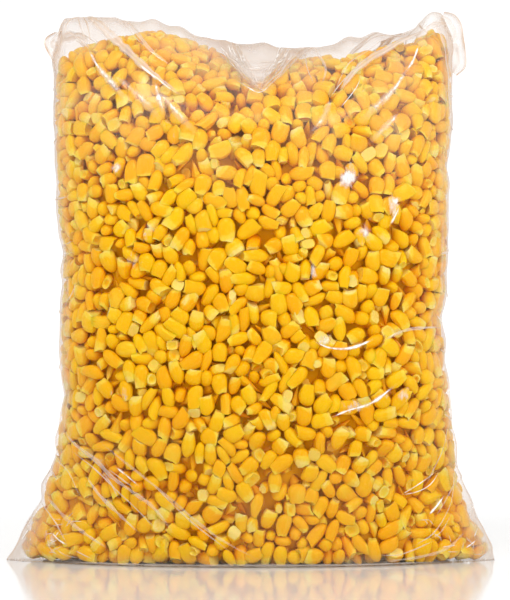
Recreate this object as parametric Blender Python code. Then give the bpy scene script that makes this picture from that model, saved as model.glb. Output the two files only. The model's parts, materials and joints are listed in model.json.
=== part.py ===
"""Clear bag of sweetcorn kernels, standing upright on its own weight.

The bag is one closed solid out to its film: a flat foot with two flared corners, walls that
lean in above them, a rounded front shoulder and a roof that runs back to the closing seam.
Two small ears of empty film stand out from the top corners.
+Z is up, +X is to the right, and the front faces -Y. The origin is at the middle of the foot.
"""
import math

import bmesh
import bpy

# Driving dimensions, in metres.
WAIST_LEFT = 0.0817         # middle to the left wall at its narrowest
WAIST_RIGHT = 0.0839        # middle to the right wall at its narrowest
FOOT_HALF_WIDTH = 0.1050    # middle to the tip of each foot corner
BODY_HALF_DEPTH = 0.0415    # middle plane to the fullest part of front and back
FOOT_HALF_DEPTH = 0.0345    # middle plane to the edge of the foot
SEAM_HEIGHT = 0.2200        # the closing seam at its low middle
LEFT_CREST = 0.0138         # rise of the seam over the left shoulder
RIGHT_RISE = 0.0073         # rise of the seam over the right shoulder
RIGHT_CREST = 0.0095        # further rise at the right corner
SEAM_SET_BACK = 0.0103      # how far the seam lies behind the middle plane
CORNER_DROP = 0.0103        # fall of the seam at its two ends

# How the foot corners flare out of the walls.
FLARE_REACH_LEFT = 0.0284
FLARE_REACH_RIGHT = 0.0361
FLARE_POWER = 1.3
HEEL_TUCK = 0.0022          # the wall turns in this much where it meets the ground
HEEL_HEIGHT = 0.005

# Creases where a side wall buckles inward: height, depth.
BUCKLE_HEIGHT = 0.006
LEFT_BUCKLES = ((0.132, 0.0019), (0.119, 0.0014), (0.071, 0.0016), (0.045, 0.0017))
RIGHT_BUCKLES = ((0.169, 0.0012), (0.104, 0.0022), (0.088, 0.0012), (0.040, 0.0019))

# Places along the seam, as shares of the half width, between which each crest rises.
LEFT_CREST_SPAN = (0.06, 0.62)
RIGHT_RISE_SPAN = (0.20, 0.70)
RIGHT_CREST_SPAN = (0.74, 0.93)
CORNER_SPAN = (0.93, 1.0)

# The bag seen from above: a pointed leaf at the foot, round-ended at the waist.
FOOT_FULLNESS, WAIST_FULLNESS = 2.3, 2.8
FOOT_END, WAIST_END = 0.86, 0.46
SHOULDER_SHARPENING = 0.16

# The roof turns over softly in the middle and more sharply toward the side walls.
MIDDLE_SHOULDER, SIDE_SHOULDER = 13.0, 28.0
SHOULDER_SPAN = (0.35, 0.95)
ROOF_END = 0.62
SET_BACK_START = 0.80       # level from which the roof leans back to the seam

# Where the walls change form on the way up.
BELLY_HEIGHT = 0.073        # the foot's edge has grown to the full depth here
ROUND_HEIGHT = 0.086        # the pointed foot has become a round-sided wall here
SLIMMING_START = 0.130      # the depth shrinks from here up, by SLIMMING
SLIMMING = 0.005
SPREAD_START = 0.103        # the side walls lean out again from here up, by SPREAD
SPREAD = 0.0035
SHOULDER_START = 0.172      # the wall's ends grow narrower between these heights
SHOULDER_END = 0.228

# The mesh: columns across each face and rings up the wall.
COLUMNS = 40
WALL_RINGS = 18
ROOF_RINGS = 11
ROOF_START = 0.84           # fraction of the seam's height where the rings close up
WALL_CROWDING = 1.15        # over 1, the rings crowd toward the foot

FILM_COLOUR = (0.93, 0.72, 0.16, 1.0)
FILM_ROUGHNESS = 0.25

# Film ears, as outlines in the plane of the seam: (x, z).
EAR_THICKNESS = 0.0032
LEFT_EAR = ((-0.0800, 0.2100), (-0.0847, 0.2150), (-0.0886, 0.2227), (-0.0877, 0.2258),
            (-0.0834, 0.2266), (-0.0774, 0.2219))
RIGHT_EAR = ((0.0740, 0.2219), (0.0774, 0.2322), (0.0826, 0.2361), (0.0864, 0.2322),
             (0.0894, 0.2245), (0.0912, 0.2133), (0.0929, 0.2064), (0.0903, 0.2034),
             (0.0860, 0.2043), (0.0826, 0.2107))
EAR_DEPTH = 0.005           # how far behind the middle plane the ears lie
EAR_RIM = 0.72              # size of an ear's two faces over the size of its widest outline

MERGE_DISTANCE = 0.00002


def rise(start, end, value):
    """0 before start and 1 after end, with an even curve between."""
    portion = min(1.0, max(0.0, (value - start) / (end - start)))
    return portion * portion * (3.0 - 2.0 * portion)


def bump(centre, reach, value):
    """A soft bump, 1 at its centre, that dies away over reach."""
    return math.exp(-((value - centre) / reach) ** 2)


def side_wall(side, z):
    """Distance from the middle to the left (side -1) or right (side +1) wall at height z."""
    waist, reach, buckles = WAIST_LEFT, FLARE_REACH_LEFT, LEFT_BUCKLES
    if side > 0:
        waist, reach, buckles = WAIST_RIGHT, FLARE_REACH_RIGHT, RIGHT_BUCKLES
    flare = (FOOT_HALF_WIDTH - waist) * math.exp(-(z / reach) ** FLARE_POWER)
    spread = SPREAD * rise(SPREAD_START, SEAM_HEIGHT, z)
    crease = sum(depth * bump(height, BUCKLE_HEIGHT, z) for height, depth in buckles)
    return waist + flare + spread - crease


def half_depth(z):
    """Distance from the middle plane to the fullest point of the wall at height z."""
    belly = FOOT_HALF_DEPTH + (BODY_HALF_DEPTH - FOOT_HALF_DEPTH) * rise(0.0, BELLY_HEIGHT, z)
    slimming = SLIMMING * rise(SLIMMING_START, SEAM_HEIGHT, z)
    tuck = HEEL_TUCK * (1.0 - rise(0.0, HEEL_HEIGHT, z))
    return belly - slimming - tuck


def section(across, z):
    """Share of the full depth that is left at `across`, from -1 at one wall to 1 at the other.

    The foot ends in sharp corners. Higher up, the walls are round.
    """
    roundness = rise(0.0, ROUND_HEIGHT, z)
    fullness = FOOT_FULLNESS + (WAIST_FULLNESS - FOOT_FULLNESS) * roundness
    end_shape = FOOT_END + (WAIST_END - FOOT_END) * roundness
    end_shape += SHOULDER_SHARPENING * rise(SHOULDER_START, SHOULDER_END, z)
    return max(0.0, 1.0 - abs(across) ** fullness) ** end_shape


def seam_height(across):
    """Height of the closing seam: low in the middle, higher to both sides, down at its ends."""
    left = LEFT_CREST * rise(*LEFT_CREST_SPAN, -across)
    right = RIGHT_RISE * rise(*RIGHT_RISE_SPAN, across) + RIGHT_CREST * rise(*RIGHT_CREST_SPAN, across)
    ends = CORNER_DROP * rise(*CORNER_SPAN, abs(across)) ** 2
    return SEAM_HEIGHT + left + right - ends


def roof(level, across):
    """Share of the depth left at `level`, a fraction of the seam's height, as the roof closes."""
    shoulder = MIDDLE_SHOULDER + (SIDE_SHOULDER - MIDDLE_SHOULDER) * rise(*SHOULDER_SPAN, abs(across))
    return max(0.0, 1.0 - level ** shoulder) ** ROOF_END


def wall_point(face, across, level):
    """A point of the front (face -1) or back (face +1) at a fraction `level` of the height."""
    z = seam_height(across) * level
    side = 1.0 if across > 0.0 else -1.0
    x = across * side_wall(side, z)
    middle = SEAM_SET_BACK * rise(SET_BACK_START, 1.0, level)
    y = middle + face * half_depth(z) * section(across, z) * roof(level, across)
    return (x, y, z)


def levels():
    """Fractions of the height for the rings, closer together near the foot and in the roof."""
    wall = [ROOF_START * (ring / WALL_RINGS) ** WALL_CROWDING for ring in range(WALL_RINGS)]
    turn = [math.sin(0.5 * math.pi * ring / ROOF_RINGS) for ring in range(ROOF_RINGS + 1)]
    return wall + [ROOF_START + (1.0 - ROOF_START) * part for part in turn]


def columns():
    """Places across a face, from -1 to 1, closer together near the walls."""
    return [math.sin(0.5 * math.pi * (2.0 * step / COLUMNS - 1.0)) for step in range(COLUMNS + 1)]


def loft_wall(mesh, face, ring_levels, places):
    """Make one face of the bag as a grid of quads, wound so that they point outward."""
    grid = [[mesh.verts.new(wall_point(face, across, level)) for across in places]
            for level in ring_levels]
    for lower, upper in zip(grid, grid[1:]):
        for step in range(len(places) - 1):
            quad = [lower[step], lower[step + 1], upper[step + 1], upper[step]]
            mesh.faces.new(quad if face < 0 else quad[::-1])


def bag_body():
    """The filled bag: front and back lofted from foot to seam, joined and closed below."""
    mesh = bmesh.new()
    for face in (-1, 1):
        loft_wall(mesh, face, levels(), columns())
    bmesh.ops.remove_doubles(mesh, verts=mesh.verts, dist=MERGE_DISTANCE)
    bmesh.ops.dissolve_degenerate(mesh, dist=MERGE_DISTANCE, edges=mesh.edges)
    open_edges = [edge for edge in mesh.edges if edge.is_boundary]
    bmesh.ops.holes_fill(mesh, edges=open_edges, sides=0)
    bmesh.ops.triangulate(mesh, faces=mesh.faces)
    bmesh.ops.recalc_face_normals(mesh, faces=mesh.faces)
    return mesh


def ear(outline):
    """A small ear of empty film: its outline, thinner at the rim than in the middle."""
    mesh = bmesh.new()
    middle_x = sum(x for x, z in outline) / len(outline)
    middle_z = sum(z for x, z in outline) / len(outline)
    rows = []
    for offset, size in ((-0.5, EAR_RIM), (0.0, 1.0), (0.5, EAR_RIM)):
        y = EAR_DEPTH + offset * EAR_THICKNESS
        rows.append([mesh.verts.new((middle_x + (x - middle_x) * size, y,
                                     middle_z + (z - middle_z) * size)) for x, z in outline])
    for near, far in zip(rows, rows[1:]):
        for step, corner in enumerate(near):
            after = (step + 1) % len(near)
            mesh.faces.new((corner, near[after], far[after], far[step]))
    mesh.faces.new(rows[0])
    mesh.faces.new(rows[-1][::-1])
    bmesh.ops.triangulate(mesh, faces=mesh.faces)
    bmesh.ops.recalc_face_normals(mesh, faces=mesh.faces)
    return mesh


def add_object(name, mesh):
    """Turn a bmesh into an object in the scene."""
    data = bpy.data.meshes.new(name)
    mesh.to_mesh(data)
    mesh.free()
    made = bpy.data.objects.new(name, data)
    bpy.context.collection.objects.link(made)
    return made


def join_ear(body, name, outline):
    """Fuse an ear of film to the bag with a Boolean union, and keep the ear only as its guide."""
    guide = add_object(name, ear(outline))
    guide.hide_render = True
    guide.display_type = "WIRE"
    union = body.modifiers.new(name, "BOOLEAN")
    union.operation = "UNION"
    union.solver = "EXACT"
    union.object = guide


def film_material():
    """Corn seen through clear film: a warm yellow with the film's soft shine."""
    material = bpy.data.materials.new("corn in clear film")
    material.use_nodes = True
    shader = material.node_tree.nodes["Principled BSDF"]
    shader.inputs["Base Color"].default_value = FILM_COLOUR
    shader.inputs["Roughness"].default_value = FILM_ROUGHNESS
    shader.inputs["Metallic"].default_value = 0.0
    return material


def main():
    for old in list(bpy.data.objects):
        bpy.data.objects.remove(old, do_unlink=True)
    bag = add_object("corn_bag", bag_body())
    bag.data.materials.append(film_material())
    bag.data.shade_smooth()
    join_ear(bag, "left_ear", LEFT_EAR)
    join_ear(bag, "right_ear", RIGHT_EAR)


main()
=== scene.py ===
# %% [markdown]
# # A clear bag of sweetcorn
# The bag stands on its own weight: a big sleeve of thin clear film, folded shut below and drawn
# together above, packed with over two litres of loose kernels. Everything that gives it its look
# is made here in the order a packer would meet it: the shape that the film takes, the kernels
# that settle inside it, the film itself with its folds, then the finishes, the light and the camera.

# %% Load the fixed frame
import json
import math
import time

import bmesh
import bpy
import numpy as np
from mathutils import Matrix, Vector
from mathutils.bvhtree import BVHTree

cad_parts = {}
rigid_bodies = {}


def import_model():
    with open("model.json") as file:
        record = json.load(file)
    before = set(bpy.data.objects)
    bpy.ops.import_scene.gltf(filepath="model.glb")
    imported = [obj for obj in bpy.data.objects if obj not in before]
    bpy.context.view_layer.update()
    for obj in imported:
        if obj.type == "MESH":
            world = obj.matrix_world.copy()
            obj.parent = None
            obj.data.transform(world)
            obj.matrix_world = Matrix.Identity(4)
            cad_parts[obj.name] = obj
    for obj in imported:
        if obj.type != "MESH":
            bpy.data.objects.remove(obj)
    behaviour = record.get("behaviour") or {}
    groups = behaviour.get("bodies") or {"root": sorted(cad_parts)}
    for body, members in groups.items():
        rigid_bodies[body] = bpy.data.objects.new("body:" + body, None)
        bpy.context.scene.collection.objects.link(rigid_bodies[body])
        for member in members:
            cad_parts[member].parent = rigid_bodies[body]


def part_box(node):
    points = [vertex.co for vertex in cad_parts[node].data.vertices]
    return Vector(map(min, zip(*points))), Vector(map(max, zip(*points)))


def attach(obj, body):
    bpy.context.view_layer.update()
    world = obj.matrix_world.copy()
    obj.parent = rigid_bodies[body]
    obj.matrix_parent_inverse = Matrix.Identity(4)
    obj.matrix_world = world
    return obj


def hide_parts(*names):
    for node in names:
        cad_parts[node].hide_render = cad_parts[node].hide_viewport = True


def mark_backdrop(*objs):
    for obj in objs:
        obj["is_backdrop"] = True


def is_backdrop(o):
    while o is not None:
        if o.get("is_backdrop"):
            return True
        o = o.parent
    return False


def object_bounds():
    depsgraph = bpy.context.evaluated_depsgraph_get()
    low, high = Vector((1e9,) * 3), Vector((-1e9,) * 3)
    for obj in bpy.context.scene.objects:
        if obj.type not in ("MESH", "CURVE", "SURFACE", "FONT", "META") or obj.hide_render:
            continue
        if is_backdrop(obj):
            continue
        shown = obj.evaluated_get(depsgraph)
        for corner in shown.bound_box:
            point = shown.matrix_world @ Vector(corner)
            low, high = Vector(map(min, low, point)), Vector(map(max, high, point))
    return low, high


for old in list(bpy.data.objects):
    bpy.data.objects.remove(old, do_unlink=True)
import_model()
cad_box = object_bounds()
started = time.perf_counter()
print("CAD box", cad_box)

# %% [markdown]
# ## The size of the bag
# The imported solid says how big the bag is, and every other size of its shape is a share of that.
# A maker would measure the same few things: the spread of the foot, the waist, the depth and the
# height of the closing seam.

# %% Sizes taken from the frame
_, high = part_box("corn_bag")
FOOT_HALF_WIDTH = high.x
BODY_HALF_DEPTH = high.y
TALL = high.z
MM = 0.001

WAIST_LEFT = 0.778 * FOOT_HALF_WIDTH
WAIST_RIGHT = 0.799 * FOOT_HALF_WIDTH
FOOT_HALF_DEPTH = 0.831 * BODY_HALF_DEPTH
SEAM_HEIGHT = 0.929 * TALL
LEFT_CREST = 0.058 * TALL
RIGHT_RISE = 0.031 * TALL
RIGHT_CREST = 0.040 * TALL
GATHER_RISE = 0.013 * TALL      # the gathered middle stands a little above the slack beside it
SEAM_SET_BACK = 0.248 * BODY_HALF_DEPTH
CORNER_DROP = 0.0435 * TALL
print(f"foot {2 * FOOT_HALF_WIDTH:.3f} m wide, {2 * BODY_HALF_DEPTH:.3f} m deep, {TALL:.3f} m tall")

# %% [markdown]
# ## The shape that the film takes
# A filled bag isn't a box or a cushion. Its foot is a long pointed leaf, pressed flat by the
# weight, its waist is round-cornered, and its top closes along a seam that sags in the middle.
# Ready-made primitives can't do that, so each place on the bag is worked out from two numbers:
# how far across a face it is, from -1 to 1, and how far up, from 0 at the ground to 1 at the seam.
# Everything else, kernels, film and folds alike, is placed with the same two numbers.

# %% Soft steps, bumps and noise
def rise(start, end, value):
    """0 before start and 1 after end, with an even curve between."""
    portion = np.clip((value - start) / (end - start), 0.0, 1.0)
    return portion * portion * (3.0 - 2.0 * portion)


def bump(centre, reach, value):
    """A soft bump, 1 at its centre, that dies away over reach."""
    return np.exp(-((value - centre) / reach) ** 2)


def smooth_noise(first, second, seed):
    """Value noise of two coordinates, between -1 and 1."""
    table = np.random.default_rng(seed).uniform(-1.0, 1.0, (256, 256))
    i, j = np.floor(first).astype(int), np.floor(second).astype(int)
    u, v = first - i, second - j
    u, v = u * u * (3 - 2 * u), v * v * (3 - 2 * v)
    near = table[i % 256, j % 256] * (1 - u) + table[(i + 1) % 256, j % 256] * u
    far = table[i % 256, (j + 1) % 256] * (1 - u) + table[(i + 1) % 256, (j + 1) % 256] * u
    return near * (1 - v) + far * v


print("halfway up a soft step:", float(rise(0.0, 1.0, 0.5)))

# %% The side walls
FLARE_REACH = {-1: 0.120 * TALL, 1: 0.1525 * TALL}      # how high the foot corners flare
FLARE_POWER = 1.3
BUCKLES = {-1: ((0.557, 1.9), (0.503, 1.4), (0.300, 1.6), (0.190, 1.7)),
           1: ((0.714, 1.2), (0.439, 2.2), (0.372, 1.2), (0.169, 1.9))}     # height share, depth in mm
BUCKLE_REACH = 0.025 * TALL
SPREAD, SPREAD_FROM = 3.5 * MM, 0.435 * TALL    # the side walls lean out again above the waist
LUMP_LOW, LUMP_HIGH = 1.9 * MM, 0.6 * MM        # kernels push the side walls out unevenly
LUMP_REACH = 6.5 * MM
LUMP_SEED = 11


def one_side(side, z):
    """Distance from the middle to one side wall at height z, with side -1 or 1."""
    waist = WAIST_LEFT if side < 0 else WAIST_RIGHT
    flare = (FOOT_HALF_WIDTH - waist) * np.exp(-(np.maximum(z, 0.0) / FLARE_REACH[side]) ** FLARE_POWER)
    spread = SPREAD * rise(SPREAD_FROM, SEAM_HEIGHT, z)
    crease = sum(depth * MM * bump(share * TALL, BUCKLE_REACH, z) for share, depth in BUCKLES[side])
    swell = LUMP_LOW + (LUMP_HIGH - LUMP_LOW) * rise(0.10 * TALL, 0.35 * TALL, z)
    lumps = swell * rise(0.0, 6 * MM, z) * smooth_noise(z / LUMP_REACH, side * 10.5, LUMP_SEED)
    return waist + flare + spread - crease + lumps


def side_wall(across, z):
    """Distance from the middle to the wall on the side that `across` is on."""
    return np.where(across > 0.0, one_side(1, z), one_side(-1, z))


print(f"waist {(one_side(-1, 0.5 * TALL) + one_side(1, 0.5 * TALL)) / MM:.0f} mm wide at half height")

# %% Depth, seam and roof
BELLY_TOP = 0.308 * TALL    # the foot's narrow depth has filled out here
SLIMMING, SLIM_FROM = 5 * MM, 0.549 * TALL      # higher up, the front and back draw in
HEEL_TUCK, HEEL_HEIGHT = 2.2 * MM, 5 * MM
ROUND_FROM = 0.363 * TALL   # the section is round from here up


def half_depth(z):
    """Distance from the middle plane to the fullest point of the wall at height z."""
    belly = FOOT_HALF_DEPTH + (BODY_HALF_DEPTH - FOOT_HALF_DEPTH) * rise(0.0, BELLY_TOP, z)
    slim = SLIMMING * rise(SLIM_FROM, SEAM_HEIGHT, z)
    return belly - slim - HEEL_TUCK * (1.0 - rise(0.0, HEEL_HEIGHT, z))


def section(across, z):
    """Share of the full depth left at `across`: pointed at the foot, round above."""
    roundness = rise(0.0, ROUND_FROM, z)
    end_shape = 0.86 - 0.40 * roundness + 0.16 * rise(0.726 * TALL, 0.963 * TALL, z)
    return np.maximum(0.0, 1.0 - np.abs(across) ** (2.3 + 0.5 * roundness)) ** end_shape


def seam_height(across):
    """Height of the closing seam: low in the middle, higher to both sides, down at its ends."""
    left = LEFT_CREST * rise(0.02, 0.54, -across)
    right = RIGHT_RISE * rise(0.20, 0.62, across) + RIGHT_CREST * rise(0.74, 0.92, across)
    middle = GATHER_RISE * bump(0.0, 0.24, across)
    return SEAM_HEIGHT + left + right + middle - CORNER_DROP * rise(0.93, 1.0, np.abs(across)) ** 2


def roof(level, across):
    """Share of the depth left at `level` as the roof closes to the seam."""
    shoulder = 13.0 + 15.0 * rise(0.35, 0.95, np.abs(across))
    return np.maximum(0.0, 1.0 - np.clip(level, 0.0, 1.0) ** shoulder) ** 0.62


print(f"seam {seam_height(0.0) / MM:.0f} mm up in the middle, {seam_height(0.8) / MM:.0f} mm on the right")

# %% Any place on the wall
def wall_point(face, across, level):
    """Points of the front (face -1) or back (face 1), as an array of x, y, z."""
    across, level = np.broadcast_arrays(np.asarray(across, float), np.asarray(level, float))
    z = seam_height(across) * level
    middle = SEAM_SET_BACK * rise(0.80, 1.0, level)
    y = middle + face * half_depth(z) * section(across, z) * roof(level, across)
    return np.stack([across * side_wall(across, z), y, z], axis=-1)


def even_columns(count):
    """Places across a face, from -1 to 1, closer together near the walls."""
    return np.sin(0.5 * np.pi * np.linspace(-1.0, 1.0, count))


def even_levels(wall, turn, start=0.84):
    """Places up a face, closer together in the roof."""
    lower = start * np.linspace(0.0, 1.0, wall, endpoint=False) ** 1.1
    return np.concatenate([lower, start + (1.0 - start) * np.sin(0.5 * np.pi * np.linspace(0, 1, turn))])


print("front of the bag at half height, in mm:", np.round(wall_point(-1, 0.0, 0.5) / MM, 1))

# %% [markdown]
# ## Meshes from arrays
# Thousands of kernels are too many for one Blender object each, and slow through Python lists.
# Blender's meshes take whole arrays of numbers at once, so one helper turns arrays of corners,
# triangles or quads and map places into an object, and everything below goes through it.

# %% One helper that makes every mesh
MAP = "OFBake"


def make_mesh(name, corners, faces, map_places=None, fields=None, edge_angle=None):
    """An object from corners (n, 3), faces (m, 3 or 4), and a map place for each face's corners.

    fields are numbers kept on the corners, for a finish to read. Edges sharper than edge_angle,
    in degrees, stay crisp.
    """
    sides = faces.shape[1]
    data = bpy.data.meshes.new(name)
    data.vertices.add(len(corners))
    data.vertices.foreach_set("co", np.ascontiguousarray(corners, np.float32).ravel())
    data.loops.add(faces.size)
    data.loops.foreach_set("vertex_index", np.ascontiguousarray(faces, np.int32).ravel())
    data.polygons.add(len(faces))
    data.polygons.foreach_set("loop_start", np.arange(0, faces.size, sides, dtype=np.int32))
    data.polygons.foreach_set("use_smooth", np.ones(len(faces), bool))
    if map_places is not None:
        layer = data.uv_layers.new(name=MAP)
        layer.data.foreach_set("uv", np.ascontiguousarray(map_places, np.float32).ravel())
    for key, column in (fields or {}).items():
        field = data.attributes.new(key, "FLOAT", "POINT")
        field.data.foreach_set("value", np.ascontiguousarray(column, np.float32).ravel())
    data.update(calc_edges=True)
    data.validate()
    if edge_angle:
        data.set_sharp_from_angle(angle=math.radians(edge_angle))
    made = bpy.data.objects.new(name, data)
    bpy.context.collection.objects.link(made)
    return made


def grid_faces(rows, columns, flip=False):
    """Quads of a grid of rows x columns corners."""
    corner = np.arange(rows * columns).reshape(rows, columns)
    quads = np.stack([corner[:-1, :-1], corner[:-1, 1:], corner[1:, 1:], corner[1:, :-1]], axis=-1)
    quads = quads.reshape(-1, 4)
    return quads[:, ::-1] if flip else quads


def grid_normals(points):
    """Unit normals of a grid of points, to the right of its rows as they run upward."""
    along = np.gradient(points, axis=1)
    up = np.gradient(points, axis=0)
    normal = np.cross(along, up)
    return normal / np.maximum(np.linalg.norm(normal, axis=-1, keepdims=True), 1e-12)


# %% Grids sewn into one mesh
class Patchwork:
    """Grids of corners that become one mesh, with map places and fields."""

    def __init__(self):
        self.corners, self.faces, self.places, self.fields = [], [], [], {}
        self.total = 0

    def add(self, grid, spots, flip=False, **fields):
        """One more grid (rows, columns, 3), with its map places (rows, columns, 2)."""
        quads = grid_faces(*grid.shape[:2], flip=flip)
        self.corners.append(grid.reshape(-1, 3))
        self.faces.append(quads + self.total)
        self.places.append(spots.reshape(-1, 2)[quads])
        for key, numbers in fields.items():
            self.fields.setdefault(key, []).append(np.broadcast_to(numbers, grid.shape[:2]).ravel())
        self.total += grid[..., 0].size

    def sew(self, name):
        """The object made of all the grids."""
        fields = {key: np.concatenate(parts) for key, parts in self.fields.items()}
        return make_mesh(name, np.concatenate(self.corners), np.concatenate(self.faces),
                         np.concatenate(self.places), fields)


def even_spots(rows, columns, edge=0.0):
    """Map places of a grid, spread evenly over one square but for a margin of edge."""
    up, along = np.linspace(edge, 1.0 - edge, rows), np.linspace(edge, 1.0 - edge, columns)
    return np.stack(np.meshgrid(along, up), axis=-1)


# %% [markdown]
# ## How deep inside the bag is a point?
# To settle kernels in the bag we must ask, thousands of times, how far a point is from the film
# and which way the film lies. A signed distance field answers that at once: the distance is
# measured once on a lattice of points a few millimetres apart, and read between them afterwards.
# The kernels don't fill the very top, so the field also stops them below the seam, lowest where
# the film is gathered.

# %% The space above the corn
HEADSPACE = 4.5 * MM        # empty film above the kernels
HOLLOWS = ((-0.95, 0.22, 9.0), (-0.66, 0.10, 3.0), (0.03, 0.10, 14.0), (0.50, 0.14, 6.0), (0.92, 0.09, 5.0))


def headspace(across):
    """Empty height under the seam: HOLLOWS gives the place, reach and extra depth in mm of each dip."""
    return HEADSPACE + sum(extra * MM * bump(place, reach, across) for place, reach, extra in HOLLOWS)


# %% A distance field of the space that the kernels fill
PITCH = 2.5 * MM
MARGIN = 6 * MM
FILM_GAP = 0.4 * MM         # between a kernel and the film
SHELL_COLUMNS, SHELL_WALL, SHELL_TURN = 61, 40, 11
TOP_RIPPLE, RIPPLE_REACH = 2.4 * MM, 7 * MM     # the heap's top isn't level


def closed_bag(columns, wall, turn):
    """The bag's surface as one tree that answers nearest-point questions."""
    shell = bmesh.new()
    across, level = np.meshgrid(even_columns(columns), even_levels(wall, turn))
    for face in (-1, 1):
        places = wall_point(face, across, level)
        rows = [[shell.verts.new(place) for place in row] for row in places]
        for lower, upper in zip(rows, rows[1:]):
            for step in range(columns - 1):
                quad = [lower[step], lower[step + 1], upper[step + 1], upper[step]]
                shell.faces.new(quad if face < 0 else quad[::-1])
    bmesh.ops.remove_doubles(shell, verts=shell.verts, dist=0.02 * MM)
    bmesh.ops.holes_fill(shell, edges=[edge for edge in shell.edges if edge.is_boundary], sides=0)
    bmesh.ops.triangulate(shell, faces=shell.faces)
    bmesh.ops.recalc_face_normals(shell, faces=shell.faces)
    tree = BVHTree.FromBMesh(shell)
    shell.free()
    return tree


def distance_field():
    """Distances to the film on a lattice, negative inside, and the lattice's first corner."""
    tree = closed_bag(SHELL_COLUMNS, SHELL_WALL, SHELL_TURN)
    first = np.array([-FOOT_HALF_WIDTH, -BODY_HALF_DEPTH, 0.0]) - MARGIN
    last = np.array([FOOT_HALF_WIDTH, BODY_HALF_DEPTH, TALL]) + MARGIN
    counts = np.ceil((last - first) / PITCH).astype(int) + 1
    axes = [first[axis] + PITCH * np.arange(counts[axis]) for axis in range(3)]
    gaps = np.empty(counts)
    for i, x in enumerate(axes[0]):
        for j, y in enumerate(axes[1]):
            for k, z in enumerate(axes[2]):
                gaps[i, j, k] = tree.find_nearest(Vector((x, y, z)))[3]
    x, y, z = np.meshgrid(*axes, indexing="ij")
    across = np.clip(x / side_wall(x, z), -1.0, 1.0)
    level = np.clip(z / seam_height(across), 0.0, 1.0)
    thick = half_depth(z) * section(across, z) * roof(level, across)
    off_middle = np.abs(y - SEAM_SET_BACK * rise(0.80, 1.0, level))
    gaps = np.where((z > 0.0) & (level < 1.0) & (off_middle < thick), -gaps, gaps)
    ripple = TOP_RIPPLE * smooth_noise(x / RIPPLE_REACH, y / RIPPLE_REACH, 3)
    fill_top = z - (seam_height(across) - headspace(across) - ripple)
    return np.maximum(gaps + FILM_GAP, fill_top), first


field, field_first = distance_field()
field_slope = np.stack(np.gradient(field, PITCH), axis=-1)
field_slope /= np.maximum(np.linalg.norm(field_slope, axis=-1, keepdims=True), 1e-9)
print(f"filled space {np.sum(field < 0) * PITCH ** 3 * 1000:.2f} litres,",
      f"{time.perf_counter() - started:.1f} s")


def look_up(points):
    """Distance to the film, and the direction outward, at each of the points."""
    spot = (points - field_first) / PITCH
    cell = np.clip(np.floor(spot).astype(int), 0, np.array(field.shape) - 2)
    part = np.clip(spot - cell, 0.0, 1.0)
    distance = 0.0
    outward = 0.0
    for corner in np.ndindex(2, 2, 2):
        share = np.prod(np.where(corner, part, 1.0 - part), axis=1)
        at = tuple((cell + corner).T)
        distance = distance + share * field[at]
        outward = outward + share[:, None] * field_slope[at]
    return distance, outward


# %% [markdown]
# ## Settling the kernels
# A rigid-body simulation of over four thousand kernels would take many minutes. Position-based
# dynamics does the same settling in seconds: each kernel is four balls held in a kernel's
# outline, two large ones at the crown and two small ones at the tip. They start small and
# scattered and grow to full size while overlaps are pushed apart and each kernel is pulled back
# to its rigid outline. What is left is a tight random heap that lies flat against the film.
# Only the outer layers show, so only a rind of the heap is settled, round a lumpy core.

# %% Kernel sizes
RIND = 11.5 * MM
BALLS = 4
KERNELS = 4500
SETTLING_STEPS = 260
HALF_WIDTH, HALF_THICKNESS, HALF_LENGTH = 3.1 * MM, 2.45 * MM, 4.35 * MM
TIP_SHARE = 0.80            # width of the tip over the width of the crown
TIP_BALL = 0.88             # size of the tip's balls over the crown's
UPRIGHT = np.array([1.0, 0.7, 8.0])     # kernels poured into a bag lie mostly up and down
STRAY = 1.3 * MM            # a kernel this far through the film is left out
draw = np.random.default_rng(20)


def uneven(count, spread, low_end, high_end):
    """Random size factors round 1."""
    return np.clip(draw.normal(1.0, spread, count), low_end, high_end)


def unit(vectors):
    """Rows of vectors, each made 1 long."""
    return vectors / (np.linalg.norm(vectors, axis=1, keepdims=True) + 1e-12)


def ball_outline(width, thickness, length):
    """Each kernel's four ball centres, about their middle, and their radii."""
    centres = np.zeros((len(width), BALLS, 3))
    radii = np.zeros((len(width), BALLS))
    radii[:, :2] = thickness[:, None]
    radii[:, 2:] = TIP_BALL * thickness[:, None]
    for ball, (side, crown) in enumerate(((1, 1), (-1, 1), (1, 0), (-1, 0))):
        share = 1.0 if crown else TIP_SHARE
        centres[:, ball, 0] = side * (width * share - radii[:, ball])
        centres[:, ball, 2] = (length - radii[:, ball]) * (1 if crown else -1)
    offset = centres.mean(axis=1)
    return centres - offset[:, None], radii, offset


def loose_turns(count):
    """Rotations whose long axis leans towards upright, crown up or down, with any spin about it."""
    long = unit(draw.normal(size=(count, 3)) * UPRIGHT)
    wide = unit(np.cross(long, draw.normal(size=(count, 3))))
    return np.stack([wide, np.cross(long, wide), long], axis=-1)


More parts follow.
